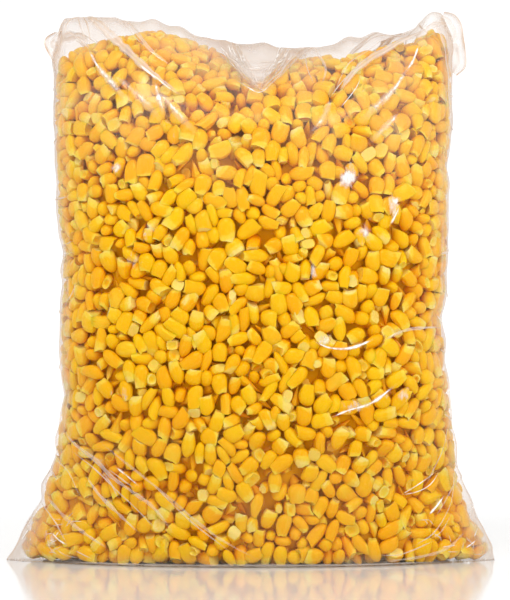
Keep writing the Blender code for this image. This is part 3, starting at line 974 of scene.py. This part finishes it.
# %% Routes of the folds on the front, in millimetres from the middle of the foot
FRONT_FOLDS = (
    # kind, width at its start and end in mm, strength, route as (x, z)
    ("line", 0.7, 0.9, 0.8, ((-79, 227), (-73, 223), (-68, 218))),
    ("flare", 1.2, 5.6, 0.9, ((-69, 219), (-64, 210), (-59, 204), (-54, 198), (-47, 190))),
    ("band", 5.6, 2.6, 1.0, ((-71, 235), (-65, 229), (-55, 220), (-45, 210), (-38, 204), (-28, 196))),
    ("line", 0.8, 0.8, 0.9, ((-79, 227), (-77, 233), (-73, 237))),
    ("line", 0.8, 0.7, 0.8, ((-73, 237), (-70, 230), (-68, 222), (-69, 218))),
    ("band", 3.0, 1.6, 0.6, ((-56, 233), (-44, 219), (-33, 210))),
    ("flare", 3.0, 4.6, 0.6, ((-57, 206), (-50, 200), (-43, 193), (-35, 184))),
    ("line", 0.7, 0.7, 0.6, ((-75, 236), (-73, 229), (-68, 218))),
    ("line", 0.8, 0.6, 0.5, ((-60, 235), (-50, 224), (-40, 214))),
    ("flare", 2.6, 4.2, 0.8, ((-40, 203), (-38, 196), (-35, 187))),
    ("flare", 3.2, 4.6, 0.7, ((-38, 199), (-30, 189), (-21, 180))),
    ("line", 0.8, 0.7, 0.6, ((-81, 226), (-82, 213))),
    ("line", 0.7, 0.7, 0.5, ((35, 198), (40, 209), (44, 214), (50, 217), (56, 222), (62, 224),
                             (71, 231), (79, 236))),
    ("band", 3.4, 3.6, 0.9, ((37, 198), (44, 208), (56, 217), (68, 224), (78, 231))),
    ("band", 5.0, 4.0, 0.7, ((70, 223), (76, 228), (84, 231))),
    ("line", 0.8, 0.8, 0.9, ((33, 196), (41, 206), (52, 214), (62, 221), (70, 227))),
    ("band", 2.4, 2.6, 0.8, ((78, 232), (82, 222), (84, 208), (84, 190))),
    ("line", 0.7, 0.7, 0.6, ((68, 222), (75, 229), (80, 230), (86, 232))),
    ("band", 2.0, 1.2, 0.5, ((86, 231), (84, 206), (83, 184))),
    ("flare", 1.0, 2.0, 1.0, ((72, 220), (69, 213), (64, 206))),
    ("flare", 2.6, 6.0, 0.8, ((66, 209), (60, 200), (51, 191), (44, 183))),
    ("flare", 2.6, 4.4, 0.7, ((62, 190), (55, 183), (48, 176))),
    ("flare", 3.0, 3.6, 0.6, ((34, 196), (30, 187), (24, 179))),
    ("glint", 0.5, 0.5, 0.9, ((47, 206), (44, 200), (37, 191))),
    ("line", 0.7, 0.6, 0.5, ((23, 218), (24, 210), (27, 202))),
    ("band", 1.6, 1.0, 0.5, ((28, 219), (32, 210), (30, 202))),
    ("line", 0.6, 0.6, 0.5, ((-81, 134), (-74, 137))),
    ("line", 0.6, 0.6, 0.5, ((-81, 130), (-75, 132))),
    ("flare", 1.3, 0.9, 0.7, ((-73, 119), (-75, 114), (-78, 109))),
    ("band", 1.6, 1.2, 0.6, ((55, 95), (64, 99), (71, 100), (80, 100))),
    ("glint", 0.7, 0.6, 0.9, ((78, 106), (81, 102), (83, 103))),
    ("glint", 1.0, 2.2, 0.8, ((26, 95), (33, 92), (42, 92), (52, 96))),
    ("glint", 1.2, 2.4, 0.8, ((33, 63), (40, 66), (50, 69), (61, 77))),
    ("glint", 1.8, 0.6, 0.8, ((58, 143), (60, 147), (62, 151))),
    ("glint", 1.4, 1.4, 0.8, ((-84, 13), (-81, 10), (-77, 8))),
    ("line", 0.8, 0.8, 0.6, ((-89, 25), (-83, 18), (-77, 8))),
    ("glint", 0.6, 0.6, 0.7, ((-86, 12), (-85, 6), (-80, 3))),
    ("glint", 0.6, 0.6, 0.6, ((-84, 8), (-79, 4), (-72, 3))),
    ("line", 0.6, 0.6, 0.5, ((-74, 6), (-67, 3))),
    ("glint", 1.6, 0.8, 0.8, ((-56, 42), (-52, 39), (-46, 34))),
    ("band", 1.8, 1.2, 0.6, ((-69, 38), (-61, 28), (-46, 14))),
    ("line", 0.8, 0.7, 0.5, ((-62, 40), (-58, 35), (-55, 29))),
    ("line", 0.8, 0.7, 0.5, ((-59, 41), (-48, 33))),
    ("band", 1.6, 1.6, 0.5, ((-87, 28), (-75, 17), (-59, 7))),
    ("band", 2.2, 1.6, 0.5, ((-79, 57), (-65, 45), (-58, 38), (-41, 26), (-31, 13))),
    ("line", 0.8, 0.7, 0.5, ((-76, 49), (-64, 40), (-50, 27), (-38, 15))),
    ("line", 0.9, 0.8, 0.4, ((-42, 37), (-25, 20), (-7, 6))),
    ("band", 1.6, 1.2, 0.4, ((-63, 53), (-38, 33), (-15, 14), (5, 3))),
    ("line", 0.8, 0.7, 0.4, ((-83, 45), (-76, 38), (-70, 27))),
    ("glint", 0.5, 0.7, 0.9, ((63, 30), (72, 35), (79, 40))),
    ("glint", 0.5, 0.7, 0.9, ((63, 30), (70, 31), (76, 34), (80, 40))),
    ("glint", 1.8, 0.8, 0.9, ((75, 21), (79, 25), (82, 29))),
    ("glint", 0.6, 0.6, 0.7, ((76, 11), (81, 14), (85, 21))),
    ("glint", 0.6, 0.5, 0.6, ((76, 12), (81, 18))),
    ("glint", 1.2, 1.2, 0.8, ((91, 6), (96, 9))),
    ("glint", 0.8, 0.7, 0.8, ((95, 10), (96, 13), (98, 16))),
    ("line", 0.8, 0.7, 0.5, ((54, 5), (63, 5), (77, 10))),
    ("band", 1.6, 1.2, 0.5, ((55, 2), (74, 4), (84, 7), (92, 14))),
    ("line", 0.7, 0.7, 0.5, ((68, 8), (78, 14), (85, 26), (86, 42))),
    ("line", 0.7, 0.7, 0.5, ((74, 34), (80, 46), (83, 60))),
    ("line", 0.7, 0.7, 0.4, ((78, 20), (86, 34), (88, 44))),
    ("line", 1.4, 1.4, 0.4, ((-86, 1), (-60, 1), (-20, 1), (20, 1), (60, 1), (90, 1))),
    ("glint", 1.0, 0.9, 0.9, ((-94, 14), (-98, 8))),
    ("glint", 0.9, 0.9, 0.9, ((93, 23), (96, 22), (99, 18), (101, 12))),
)


def on_face(face, route):
    """The route's points in space, on the front or the back of the bag."""
    route = np.array(route, float) * MM
    across = np.clip(route[:, 0] / side_wall(route[:, 0], route[:, 1]), -1.0, 1.0)
    return wall_point(face, across, np.clip(route[:, 1] / seam_height(across), 0.0, 1.0))


# %% The gather's strands and swags
ARM_STRANDS = 44            # up each arm of the gather
SWAGS = 34                  # hanging between the arms
# the white strands carry painted highlights
GLINTING = 0.60             # share of the strands that are white
TIP_ROUTE = ((-6, 204), (0, 200), (4, 198), (8, 202))


def strand(face, route):
    """A very thin fold along a route, with a painted white glint or dull, by chance."""
    kind = "glint" if draw.random() < GLINTING else "line"
    width_low, width_high = draw.uniform(0.30, 0.65), draw.uniform(0.30, 0.65)
    return kind, width_low, width_high, draw.uniform(0.40, 0.85), on_face(face, route)


def gather_folds(face):
    """Fine strands up the gather's two arms, and more that hang between them like nested swags."""
    tip = np.array(GATHER_TIP)
    arms = [np.array(top) - tip for top in GATHER_ARMS]
    made = [("glint", 1.0, 0.8, 0.7, on_face(face, TIP_ROUTE))]
    for side, arm in zip((-1, 1), arms):
        aside = np.array((-arm[1], arm[0])) / np.linalg.norm(arm)
        for _ in range(ARM_STRANDS):
            offset, bow = side * draw.uniform(-5.0, 8.0), draw.uniform(-1.2, 1.2)
            shares = np.linspace(draw.uniform(0.0, 0.5), draw.uniform(0.6, 1.08), 4)
            route = [tip + share * arm + aside * (offset * share ** 0.8 + bow * math.sin(6.0 * share))
                     for share in shares]
            made.append(strand(face, route))
    for _ in range(SWAGS):
        height = draw.uniform(0.12, 1.0)
        ends = [tip + height * draw.uniform(0.85, 1.1) * arm for arm in arms]
        lowest = tip + (draw.uniform(-1.5, 1.5), (0.62 * height - 0.05) * arms[0][1])
        shares = np.linspace(draw.uniform(-1.0, -0.1), draw.uniform(0.1, 1.0), 5)
        route = [lowest + (ends[int(share > 0.0)] - lowest) * (abs(share), share ** 2) for share in shares]
        made.append(strand(face, route))
    return made


# %% Foot corners, back and sides
SIDE_BUCKLES = 9
CRUMPLES = 16               # in each foot corner
BACK_SHIFT, BACK_LIFT = 2.5, 3.0        # mm that a fold on the back may be out of place


def corner_crumples(face):
    """Short creases at random in the two foot corners, where the film is slack."""
    made = []
    for side in (-1, 1):
        for _ in range(CRUMPLES):
            z = draw.uniform(1.5, 20.0)
            x = side * (draw.uniform(100.0, 104.0) - 0.8 * z - draw.uniform(0.0, 14.0))
            reach, turn = draw.uniform(2.0, 4.5), draw.uniform(-0.2, 1.8)
            step = np.array((-side * math.cos(turn), math.sin(turn))) * reach
            route = [(x, z), (x + step[0], max(1.0, z + 0.6 * step[1])), (x + 1.6 * step[0], z + step[1])]
            made.append(strand(face, route))
    return made


def back_folds():
    """The front's folds mirrored to the back, each a little out of place."""
    made = []
    for kind, start, end, strength, route in FRONT_FOLDS:
        moved = [(-x + draw.uniform(-1, 1) * BACK_SHIFT, max(2.0, z + draw.uniform(-1, 1) * BACK_LIFT))
                 for x, z in route]
        made.append((kind, start, end, strength, on_face(1, moved)))
    return made


def side_folds():
    """Short level buckles that run round each side wall, where the film has nothing to hold it out."""
    made = []
    for side in (-1, 1):
        for height in np.linspace(0.08, 0.92, SIDE_BUCKLES):
            z = (height + draw.uniform(-0.03, 0.03)) * SEAM_HEIGHT
            reach = draw.uniform(0.25, 0.75) * half_depth(z)
            start = draw.uniform(-0.6, 0.3) * half_depth(z)
            drop = draw.uniform(-7, 7) * MM
            route = [(side * one_side(side, z), start + share * reach, z + share * drop + 3 * MM * share ** 2)
                     for share in (0.0, 0.35, 0.7, 1.0)]
            kind = "band" if draw.random() < 0.3 else "line"
            start_width, end_width = draw.uniform(0.7, 1.8), draw.uniform(0.6, 1.4)
            made.append((kind, start_width, end_width, draw.uniform(0.4, 0.9), np.array(route)))
    return made


# %% A smooth route that lies on the film
FOLD_STEP = 1.1 * MM


def smooth_route(points):
    """A smooth curve through the points, as even steps of FOLD_STEP."""
    ends = np.concatenate([[2 * points[0] - points[1]], points, [2 * points[-1] - points[-2]]])
    share = np.linspace(0.0, 1.0, 12, endpoint=False)[:, None]
    curve = []
    for a, b, c, d in zip(ends, ends[1:], ends[2:], ends[3:]):
        curve.append(0.5 * (2 * b + (c - a) * share + (2 * a - 5 * b + 4 * c - d) * share ** 2
                            + (3 * b - a - 3 * c + d) * share ** 3))
    curve = np.concatenate(curve + [points[-1:]])
    length = np.concatenate([[0.0], np.cumsum(np.linalg.norm(np.diff(curve, axis=0), axis=1))])
    steps = np.linspace(0.0, length[-1], max(6, int(length[-1] / FOLD_STEP)))
    return np.stack([np.interp(steps, length, curve[:, axis]) for axis in range(3)], axis=-1)


def lie_on_film(tree, points):
    """The points moved onto the film, and the film's direction outward at each."""
    hits = [tree.find_nearest(Vector(point)) for point in points]
    places = np.array([hit[0] for hit in hits])
    normals = np.array([hit[1] for hit in hits])
    for _ in range(3):
        normals[1:-1] = 0.25 * normals[:-2] + 0.5 * normals[1:-1] + 0.25 * normals[2:]
        places[1:-1] = 0.25 * places[:-2] + 0.5 * places[1:-1] + 0.25 * places[2:]
    return places, unit(normals)


# %% One strip
FOLD_POINTS = 5             # corners across a strip
FOLD_LIFT = 0.12 * MM
FOLD_HEIGHTS = {"line": 0.35, "band": 0.14, "flare": 0.10, "glint": 0.25}       # over the width
RAGGED = 0.45               # how unevenly wide a fold is
FADE_FROM = {"line": 0.80, "band": 0.80, "flare": 0.50, "glint": 0.80}  # share of the length


def fold_strip(tree, kind, start, end, strength, points):
    """One arched strip: its grid of corners, how milky it is and how much painted glint it has."""
    places, outward = lie_on_film(tree, smooth_route(points))
    along = np.linspace(0.0, 1.0, len(places))[:, None]
    taper = np.sin(np.pi * np.clip(along, 0.02, 0.98)) ** 0.45
    own = along + 40.0 * strength + places[0, 0] / MM
    ragged = 1.0 + RAGGED * smooth_noise(along * len(places) / 2.4, own, 51)
    width = (start + (end - start) * along) * MM * taper * ragged
    sideways = unit(np.cross(np.gradient(places, axis=0), outward))
    s = np.linspace(-1.0, 1.0, FOLD_POINTS)[None]
    arch = FOLD_HEIGHTS[kind] * width * (1.0 - s ** 2)
    grid = (places[:, None] + sideways[:, None] * (0.5 * width * s)[..., None]
            + outward[:, None] * (arch + FOLD_LIFT)[..., None])
    fade = rise(0.0, 0.15, along) * (1.0 - rise(FADE_FROM[kind], 1.0, along))
    crown = 1.0 - s ** 2
    edges = bump(0.67, 0.22, np.abs(s))
    # painted highlights: the bright edges of bands, flares and glints are white painted into the strip
    milky, shiny = {"line": (1.1 * crown, 0.30 * crown),
                    "band": (0.45 * (1.0 - s ** 4) + 0.75 * edges, 0.55 * edges),
                    "flare": (0.40 * crown, 0.58 * crown),
                    "glint": (0.35 * crown, 0.72 * crown)}[kind]
    return grid, strength * milky * fade, strength * shiny * fade


# %% Every fold as one object
FOLD_TILES = 24             # the folds' map is a square of this many tiles a side
FOLD_TILE_EDGE = 0.05


def add_folds():
    """Every fold as one object, each strip on a map tile of its own."""
    shell = bmesh.new()
    shell.from_mesh(film.data)
    tree = BVHTree.FromBMesh(shell)
    shell.free()
    folds = [(*fold[:4], on_face(-1, fold[4])) for fold in FRONT_FOLDS]
    for face in (-1, 1):
        folds += gather_folds(face) + corner_crumples(face)
    folds += back_folds() + side_folds()
    strips = Patchwork()
    for number, fold in enumerate(folds):
        grid, haze, glint = fold_strip(tree, *fold)
        tile = np.array([number % FOLD_TILES, number // FOLD_TILES])
        spots = (even_spots(*grid.shape[:2], FOLD_TILE_EDGE) + tile) / FOLD_TILES
        strips.add(grid, spots, flip=True, milky=haze, shiny=glint)
    print(len(folds), "folds")
    return strips.sew("film_folds")


folds = add_folds()
print("folds", len(folds.data.polygons), "quads")

# %% [markdown]
# ## Loose corners
# Where the sleeve's own corners have nothing in them, the film sticks out as small limp ears: a
# short loop at the left shoulder and a longer flap that hangs from the right peak. Their outlines
# are what the eye knows them by, so each is one sheet between an inner and an outer edge, rippled
# and turned in at its rim, and not a piece of cloth left to fall as it likes.

# %% Ears of empty film
EARS = {
    # name: inner edge and outer edge, in mm as (x, z), and how far behind the middle they lie
    "film_ear_left": (((-81, 228), (-82, 222), (-82, 216), (-82, 210)),
                      ((-84, 227), (-88, 225), (-88.5, 221), (-83, 211)), 2.0),
    "film_ear_right": (((82, 233), (84, 228), (85, 220), (86, 211)),
                       ((83.5, 236), (88, 235), (91, 231), (92, 224), (93, 213), (89, 208.5)), 4.0),
}
EAR_ROWS, EAR_COLUMNS = 44, 21
EAR_RIPPLE = 1.3 * MM
TURNED_IN, TURNED_FROM = 2.6 * MM, 0.74         # how far the rim turns in, and from which share across


def ear_edge(edge, depth):
    """Even steps along one edge of an ear."""
    points = np.array([(x, depth, z) for x, z in edge], float) * MM
    curve = smooth_route(points)
    at = np.linspace(0.0, len(curve) - 1.0, EAR_ROWS)
    return np.stack([np.interp(at, np.arange(len(curve)), curve[:, axis]) for axis in range(3)], axis=-1)


def add_ear(name, inner, outer, depth):
    """A rippled sheet between two edges."""
    near, far = ear_edge(inner, depth), ear_edge(outer, depth)
    along = np.linspace(0.0, 1.0, EAR_ROWS)[:, None]
    across = np.linspace(0.0, 1.0, EAR_COLUMNS)[None]
    grid = near[:, None] * (1.0 - across[..., None]) + far[:, None] * across[..., None]
    ripple = smooth_noise(across * 3.0, along * 5.0, 91) + 0.5 * smooth_noise(across * 6.0, along * 9.0, 92)
    grid[..., 1] += EAR_RIPPLE * ripple * rise(0.0, 0.35, across) - TURNED_IN * rise(TURNED_FROM, 1.0, across)
    streaks = 0.5 + 0.5 * smooth_noise(across * 7.0, along * 2.0, 93)
    ear = Patchwork()
    # painted highlights: faint white streaks on the ear
    ear.add(grid, even_spots(EAR_ROWS, EAR_COLUMNS, 0.02), shiny=0.16 * rise(0.6, 0.95, streaks),
            milky=0.22 + 0.42 * streaks + 0.50 * rise(0.82, 1.0, across))
    return ear.sew(name)


ears = [add_ear(name, *shape) for name, shape in EARS.items()]
film_pieces = [film, folds] + ears
print("film pieces", [piece.name for piece in film_pieces])

# %% [markdown]
# ## Finishes as arithmetic
# A finish is a small sum: a base colour, plus a share of another where a mask says so. Blender
# keeps such sums as nodes, which are hard to read in code. The class below wraps one output of a
# node, so that writing a + b or 1 - mask adds the Math node that works it out.

# %% A socket that takes part in sums
class Value:
    """One output of a node. Arithmetic on it adds Math nodes."""

    def __init__(self, tree, output):
        self.tree = tree
        self.output = output

    def maths(self, operation, *terms, clamp=False):
        """A Math node on these terms, as a new value."""
        node = self.tree.nodes.new("ShaderNodeMath")
        node.operation = operation
        node.use_clamp = clamp
        for socket, term in zip(node.inputs, terms):
            join(self.tree, term, socket)
        return Value(self.tree, node.outputs[0])

    def __add__(self, other):
        return self.maths("ADD", self, other)

    def __radd__(self, other):
        return self.maths("ADD", other, self)

    def __sub__(self, other):
        return self.maths("SUBTRACT", self, other)

    def __rsub__(self, other):
        return self.maths("SUBTRACT", other, self)

    def __mul__(self, other):
        return self.maths("MULTIPLY", self, other)

    def __rmul__(self, other):
        return self.maths("MULTIPLY", other, self)

    def __pow__(self, other):
        return self.maths("POWER", self, other)

    def step_up(self, start, end):
        """0 below start, 1 above end, with an even curve between."""
        portion = self.maths("DIVIDE", self - start, end - start, clamp=True)
        return portion * portion * (3.0 - 2.0 * portion)


def join(tree, term, socket):
    """Give a socket a number, a colour or the output of another node."""
    if isinstance(term, Value):
        tree.links.new(term.output, socket)
    else:
        socket.default_value = term


# %% A material that is made in steps
class Finish:
    """A material with a method for each kind of step that makes it."""

    def __init__(self, name):
        self.material = bpy.data.materials.new(name)
        self.material.use_nodes = True
        self.tree = self.material.node_tree
        self.shader = self.tree.nodes["Principled BSDF"]
        self.surface = self.tree.nodes["Material Output"].inputs["Surface"]

    def node(self, kind, settings=None, **sockets):
        """Any node: its settings first, then its sockets by name. Returns a reader of its outputs."""
        made = self.tree.nodes.new("ShaderNode" + kind)
        for key, value in (settings or {}).items():
            setattr(made, key, value)
        for key, value in sockets.items():
            socket = made.inputs[int(key[1:])] if key[1:].isdigit() else made.inputs[key.replace("_", " ")]
            join(self.tree, value, socket)
        return lambda output: Value(self.tree, made.outputs[output])

    def mix(self, share, first, second, blend="MIX"):
        """A colour between two colours."""
        settings = {"data_type": "RGBA", "blend_type": blend, "clamp_factor": True}
        return self.node("Mix", settings, i0=share, i6=first, i7=second)(2)

    def vector(self, operation, *terms):
        """Vector Math on vectors and plain triples."""
        sockets = {f"i{place}": term for place, term in enumerate(terms)}
        return self.node("VectorMath", {"operation": operation}, **sockets)(0)

    def noise(self, where, scale, detail=2.0, roughness=0.5):
        """Soft noise between 0 and 1."""
        return self.node("TexNoise", {"noise_dimensions": "3D"}, Vector=where, Scale=scale,
                         Detail=detail, Roughness=roughness)("Fac")

    def set(self, **sockets):
        """Values for the shader's own sockets."""
        for key, value in sockets.items():
            join(self.tree, value, self.shader.inputs[key.replace("_", " ")])


# %% [markdown]
# ## Sweetcorn
# A kernel's crown is a deep clear yellow. Towards the cut it pales to straw, and the cut itself
# is cream. How pale each corner of a kernel is was worked out with its shape, so the finish
# has to make the border ragged and crisp, as it is on real kernels, and to make one kernel deeper
# and the next one paler. Thousands of materials could do that, but a random number for each
# kernel's map tile does it in one. The finish also paints shade: corn that lies deeper under the
# film is made darker and more orange.

# %% The kernels' finish
GOLD = (0.86, 0.520, 0.001, 1.0)
DEEP_GOLD = (0.86, 0.400, 0.001, 1.0)
STRAW = (0.84, 0.60, 0.05, 1.0)
CREAM = (0.84, 0.69, 0.24, 1.0)
IN_SHADOW = (1.0, 0.74, 0.30, 1.0)      # what light that has met other corn does to every colour
# painted shade: the core's corn is darker than the kernels because it lies in the heap's shade
IN_THE_DARK = (0.82, 0.37, 0.001, 1.0)  # corn deep in the heap
SKIN_GLOSS = 0.40
SKIN_TINT = (1.0, 0.80, 0.30, 1.0)      # moist skin mirrors through its own clear yellow
SKIN_RELIEF, SKIN_BUMP = 0.3 * MM, 0.25
FLESH_SHARE = 0.5                       # of the light goes into the flesh and comes out again
FLESH_REACH = (1.0, 0.45, 0.05)         # red light goes furthest, blue light hardly at all
FLESH_SCALE = 1.8 * MM
SKIN_LENGTH = 3.2                       # of a kernel, when its girth is a circle of radius 1
NEXT_SKIN = (7.0, 7.0, 7.0)             # far enough away that no two kernels share their blotches
RAGGED_BORDER = 0.42                    # how far the pale tip's border wanders


def kernel_finish(name):
    """Yellow crowns, ragged pale tips and cream cuts, each kernel a little different."""
    finish = Finish(name)
    spot = finish.vector("MULTIPLY", finish.node("UVMap", {"uv_map": MAP})("UV"), (TILES, TILES, 0.0))
    tile = finish.vector("FLOOR", spot)
    within = finish.node("SeparateXYZ", None, Vector=finish.vector("FRACTION", spot))
    around = within("X") * (2.0 * math.pi)
    chance = finish.node("SeparateColor", None, Color=finish.node(
        "TexWhiteNoise", {"noise_dimensions": "3D"}, Vector=tile)("Color"))
    ring = finish.node("CombineXYZ", None, X=around.maths("COSINE", around),
                       Y=around.maths("SINE", around), Z=within("Y") * SKIN_LENGTH)("Vector")
    skin = finish.vector("ADD", ring, finish.vector("MULTIPLY", tile, NEXT_SKIN))
    mottle = finish.noise(skin, 1.0, 2.0)
    ragged = finish.noise(skin, 3.0, 4.0, 0.65)
    pale = finish.node("Attribute", {"attribute_name": "pale"})("Fac")
    yellow = finish.mix(chance("Red") * 0.9, GOLD, DEEP_GOLD)
    yellow = finish.mix((mottle - 0.52) * 1.4 + (chance("Green") - 0.80) * 1.2, yellow, STRAW)
    edge = pale + (ragged - 0.5) * RAGGED_BORDER
    straw = edge.step_up(0.43, 0.66) * (0.72 + 0.28 * chance("Blue"))
    colour = finish.mix(straw, yellow, STRAW)
    colour = finish.mix(edge.step_up(0.80, 1.02) * (0.25 + 0.65 * chance("Green")), colour, CREAM)
    deep = finish.node("Attribute", {"attribute_name": "deep"})("Fac")
    # painted shade: corners deep under the film are darkened and turned orange
    colour = finish.mix(deep.step_up(0.08, 0.95), colour, IN_SHADOW, "MULTIPLY")
    finish.set(Base_Color=colour, Roughness=0.16 + ragged * 0.22)
    finish.set(Specular_IOR_Level=SKIN_GLOSS, Specular_Tint=SKIN_TINT, Subsurface_Weight=FLESH_SHARE,
               Subsurface_Radius=FLESH_REACH, Subsurface_Scale=FLESH_SCALE)
    height = finish.noise(skin, 2.4, 3.0)
    relief = finish.node("Bump", None, Strength=SKIN_BUMP, Distance=SKIN_RELIEF, Height=height)
    finish.set(Normal=relief("Normal"))
    return finish.material


def core_finish():
    """Plain dull corn, darker than the kernels as painted shade."""
    finish = Finish("corn in the dark")
    finish.set(Base_Color=IN_THE_DARK, Roughness=0.6, Specular_IOR_Level=0.0)
    return finish.material


# %% [markdown]
# ## Clear film
# Film is seen by what it adds: a thin warm haze, more of it where the eye looks along the sheet,
# and white light where it is folded. That white is partly the lights mirrored in the film and
# partly painted highlights in its colour. A glass shader would bend all light that goes through,
# which film this thin doesn't do, and it would be slow. So the finish is a mix of a Transparent
# shader and a glossy one, and the share of the glossy one is the sum of those parts.

# %% The film's finish
HAZE = (0.80, 0.68, 0.59, 1.0)
DENSE_HAZE = (0.62, 0.42, 0.26, 1.0)
# the white painted where the film glints, a painted highlight
GLINT = (0.95, 0.93, 0.90, 1.0)
BARE_SHARE = 0.004          # of the film shows even where nothing makes it milky
RIM_SHARE, RIM_POWER = 0.6, 2.6         # more of it where the eye looks along the sheet
FILM_IOR = 2.0
CLOUD_SCALE, FLECK_SCALE = 70.0, 330.0  # cells for each metre
FLECK_STRETCH = (1.0, 1.0, 0.6)
CLOUDED = 0.9               # how unevenly milky the film is


def film_finish():
    """Clear film with haze, and glare and glints painted as highlights."""
    finish = Finish("clear film")
    milky = finish.node("Attribute", {"attribute_name": "milky"})("Fac")
    shiny = finish.node("Attribute", {"attribute_name": "shiny"})("Fac")
    facing = finish.node("LayerWeight", None, Blend=0.5)("Facing")
    place = finish.node("TexCoord")("Object")
    cloud = finish.noise(place, CLOUD_SCALE, 3.0)
    flecks = finish.noise(finish.vector("MULTIPLY", place, FLECK_STRETCH), FLECK_SCALE, 3.0, 0.6)
    # painted highlight: where the film glints, white is painted into its colour and its share
    glint = (shiny * 1.15 + flecks - 0.62).step_up(0.22, 0.62) * 0.9
    share = BARE_SHARE + milky * (0.55 + CLOUDED * cloud) + (facing ** RIM_POWER) * RIM_SHARE + glint
    haze = finish.mix(facing.step_up(0.30, 0.90) + (milky - 0.48) * 1.1, HAZE, DENSE_HAZE)
    colour = finish.mix(glint, haze, GLINT)
    finish.set(Base_Color=colour, Roughness=0.12 + cloud * 0.12, IOR=FILM_IOR)
    clear = finish.node("BsdfTransparent")("BSDF")
    glossy = Value(finish.tree, finish.shader.outputs[0])
    shown = finish.node("MixShader", None, i0=share, i1=clear, i2=glossy)
    join(finish.tree, shown(0), finish.surface)
    return finish.material


# %% Finishes on the pieces
kernel_material = kernel_finish("sweetcorn")
film_material = film_finish()
for piece in kernel_pieces:
    piece.data.materials.append(kernel_material)
core.data.materials.append(core_finish())
for piece in film_pieces:
    piece.data.materials.append(film_material)
print("finishes", [made.name for made in bpy.data.materials])

# %% [markdown]
# ## Floor, light and camera
# A pale glossy floor that runs up behind, one tall narrow light to each side and one above, all
# white and soft. The lights to the sides are what the film's folds mirror: wider ones would turn
# the glints into a grey veil. The camera is long and level, a little below half the bag's height.

# %% The floor
FLOOR_REACH = 2.2
RIM_REACH = 1.2             # the floor curves up over this distance
FLOOR_SPIN, FLOOR_ROWS = 96, 20
FLOOR_GREY = (0.90, 0.90, 0.90, 1.0)
GLOW_START, GLOW_END = 0.25, 0.9        # between these distances the floor turns into a light table
DARK, LIT = (0.0, 0.0, 0.0, 1.0), (1.0, 1.0, 1.0, 1.0)
GLOW = 0.35


def add_stage():
    """A pale floor that curves up into a backdrop on every side of the bag."""
    curve = np.linspace(0.05, 0.5 * np.pi, FLOOR_ROWS)
    flat = np.linspace(0.0, FLOOR_REACH, FLOOR_ROWS)
    radius = np.concatenate([flat, FLOOR_REACH + RIM_REACH * np.sin(curve)])
    rising = np.concatenate([np.zeros(FLOOR_ROWS), RIM_REACH * (1.0 - np.cos(curve))])
    turn = np.linspace(0.0, 2.0 * np.pi, FLOOR_SPIN)
    points = np.stack([radius[:, None] * np.cos(turn), radius[:, None] * np.sin(turn),
                       np.repeat(rising[:, None], FLOOR_SPIN, axis=1)], axis=-1)
    floor = make_mesh("floor", points.reshape(-1, 3), grid_faces(2 * FLOOR_ROWS, FLOOR_SPIN))
    finish = Finish("pale floor")
    away = finish.node("VectorMath", {"operation": "LENGTH"}, i0=finish.node("TexCoord")("Object"))("Value")
    glow = finish.mix(away.step_up(GLOW_START, GLOW_END), DARK, LIT)
    finish.set(Base_Color=FLOOR_GREY, Roughness=0.10, Emission_Color=glow, Emission_Strength=GLOW)
    floor.data.materials.append(finish.material)
    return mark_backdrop(floor)


add_stage()
print(f"floor {2.0 * (FLOOR_REACH + RIM_REACH):.1f} m across")

# %% The lights
ROOM_LIGHT = 0.72
LIGHTS = {
    # name: place, width and height in metres, and power in watts; all aim at the bag's middle
    "left light": ((-0.8, -0.7, 0.60), 0.22, 0.5, 0.7),
    "right light": ((0.8, -0.75, 0.55), 0.22, 0.5, 2.8),
    "top light": ((-0.15, -0.65, 1.0), 0.45, 0.25, 4.0),
}


def add_light(name, place, width, height, power):
    """A rectangle of light that faces the bag."""
    lamp = bpy.data.lights.new(name, "AREA")
    lamp.shape = "RECTANGLE"
    lamp.size = width
    lamp.size_y = height
    lamp.energy = power
    made = bpy.data.objects.new(name, lamp)
    made.location = place
    toward = Vector((0.0, 0.0, 0.5 * TALL)) - Vector(place)
    made.rotation_euler = toward.to_track_quat("-Z", "Y").to_euler()
    bpy.context.collection.objects.link(made)


world = bpy.data.worlds.new("white room")
world.use_nodes = True
world.node_tree.nodes["Background"].inputs["Color"].default_value = LIT
world.node_tree.nodes["Background"].inputs["Strength"].default_value = ROOM_LIGHT
bpy.context.scene.world = world
for name, facts in LIGHTS.items():
    add_light(name, *facts)
bpy.context.scene.view_settings.view_transform = "Standard"
print("lights", list(LIGHTS))

# %% The camera
LENS = 156.0                # mm, a long lens
CAMERA_PLACE = (0.0082 * TALL, -4.725 * TALL, 0.4725 * TALL)

camera_data = bpy.data.cameras.new("camera")
camera_data.lens = LENS
camera = bpy.data.objects.new("camera", camera_data)
camera.location = CAMERA_PLACE
camera.rotation_euler = (0.5 * math.pi, 0.0, 0.0)
bpy.context.collection.objects.link(camera)
bpy.context.scene.camera = camera
print(f"camera {-CAMERA_PLACE[1]:.2f} m in front of the bag")

# %% [markdown]
# ## Handing the pieces over
# Film and kernels all ride on the one body, and together they stand for the imported solid.

# %% Pieces and sizes
for piece in kernel_pieces + [core] + film_pieces:
    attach(piece, "root")
    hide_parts("corn_bag")
final_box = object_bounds()
as_lists = [[list(map(float, corner)) for corner in box] for box in (cad_box, final_box)]
print("CAD", as_lists[0], "visual", as_lists[1], f"{time.perf_counter() - started:.1f} s")
